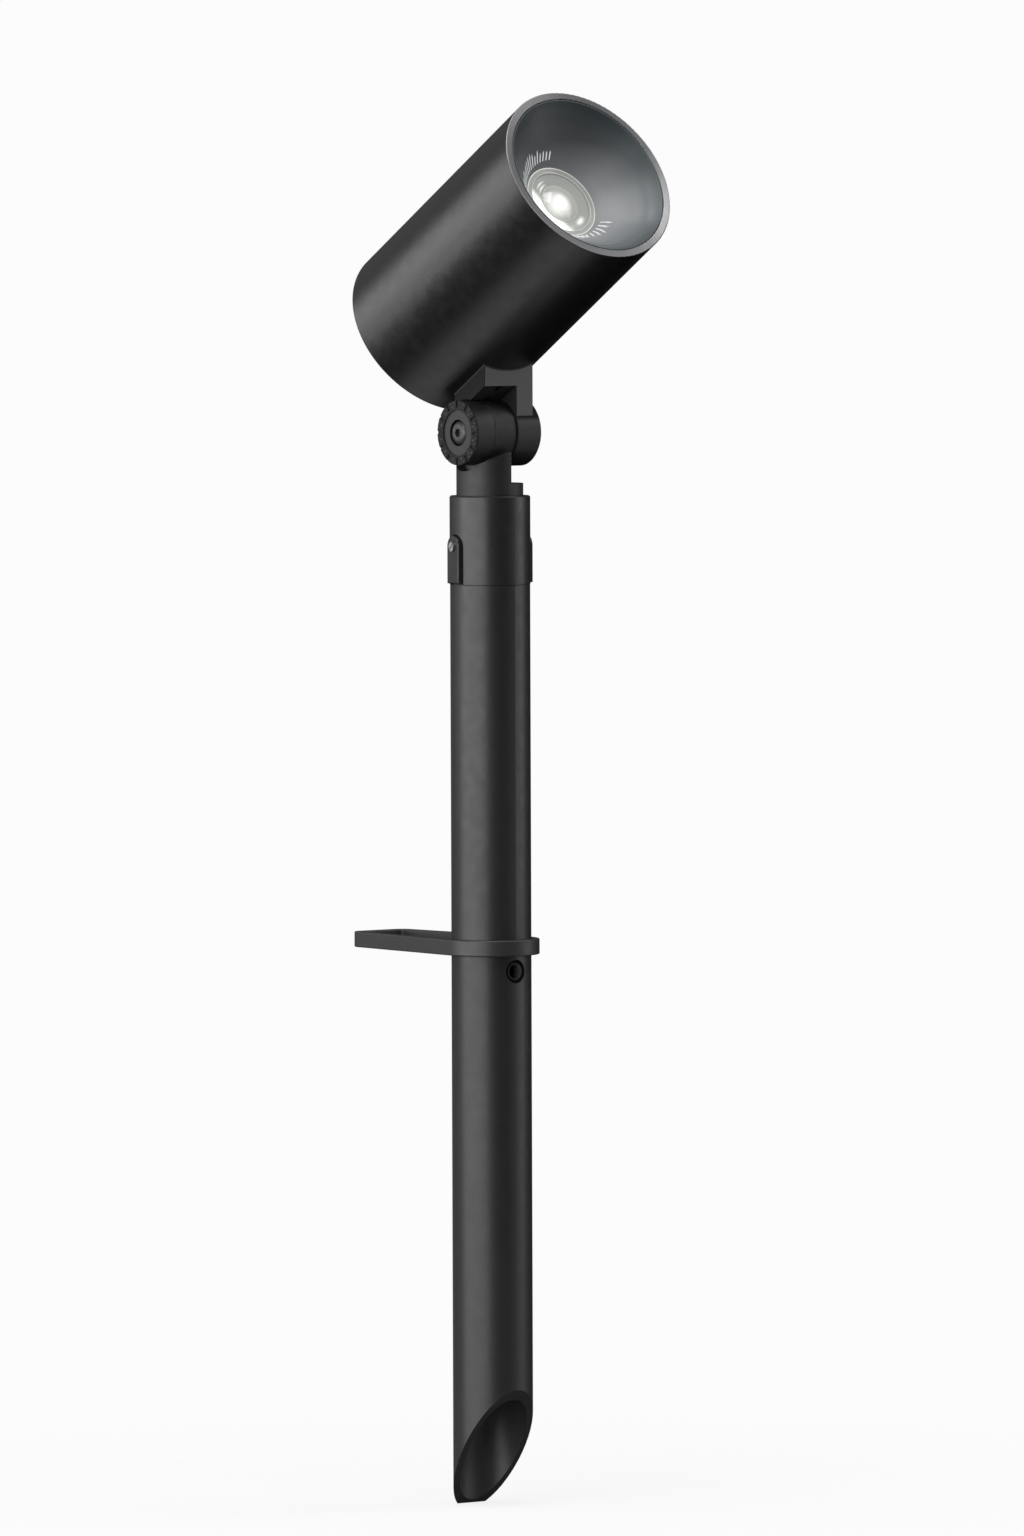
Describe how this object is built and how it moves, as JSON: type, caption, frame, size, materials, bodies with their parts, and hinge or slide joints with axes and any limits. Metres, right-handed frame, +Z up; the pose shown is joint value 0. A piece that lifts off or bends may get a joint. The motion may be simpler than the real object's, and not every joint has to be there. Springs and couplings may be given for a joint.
{
  "type": "landscape spotlight",
  "caption": "Round lamp head with a deep anti-glare cone, on a knuckle with a tilt dial and a panning stem, on a ground pole with a foot step loop and a bevelled tip.",
  "frame": {"origin": "on the pole axis at ground level, in the plane of the step loop's underside", "axes": "+Z up along the pole; +X where the lamp head, the cable hole and the bevel face; the tilt dial faces -Y and the step loop points to -X"},
  "size_m": [0.1262, 0.0606, 0.4482],
  "materials": {
    "pole": "satin black powder coat on steel tube",
    "step": "satin black powder coat on steel strip",
    "casting": "satin black powder coat on aluminium",
    "dial": "satin black powder coat with grey scale marks",
    "baffle": "matt dark grey",
    "lens": "clear",
    "steel": "stainless",
    "black_screw": "blackened steel",
    "rubber": "matt black",
    "washer": "black nylon",
    "holder": "matt black",
    "emitter": "yellow phosphor",
    "board": "white mask on metal core",
    "spreader": "plain machined",
    "circuit": "green board",
    "electronics": "black cases",
    "lead": "red and black insulation"
  },
  "bodies": {
    "pole": {"spike_pole": "pole", "step_loop": "step", "cable_grommet": "rubber", "pole_collar": "casting", "collar_seal": "rubber", "lock_lugs": "casting", "lock_screws": "steel"},
    "stem": {"knuckle_stem": "casting", "stem_seal": "rubber", "tilt_dial": "dial", "friction_washer": "washer"},
    "head": {"saddle_bracket": "casting", "saddle_gasket": "rubber", "bracket_screws": "steel", "pivot_screw": "black_screw", "pivot_nut": "steel", "head_housing": "casting", "anti_glare_baffle": "baffle", "lens": "lens", "lens_seal": "rubber", "lens_holder": "holder", "led_emitter": "emitter", "led_board": "board", "board_screws": "steel", "heat_spreader": "spreader", "spreader_screws": "steel", "driver_board": "circuit", "driver_parts": "electronics", "led_leads": "lead", "wire_seal": "rubber", "rear_cap": "casting", "rear_seal": "rubber", "rear_cap_screws": "black_screw"}
  },
  "joints": [
    {"name": "pan", "type": "hinge", "parent": "pole", "child": "stem", "pos_m": [0, 0, 0.135], "axis": [0, 0, 1], "range_deg": [-170, 170]},
    {"name": "tilt", "type": "hinge", "parent": "stem", "child": "head", "pos_m": [0, 0, 0.1655], "axis": [0, -1, 0], "range_deg": [-90, 58]}
  ]
}
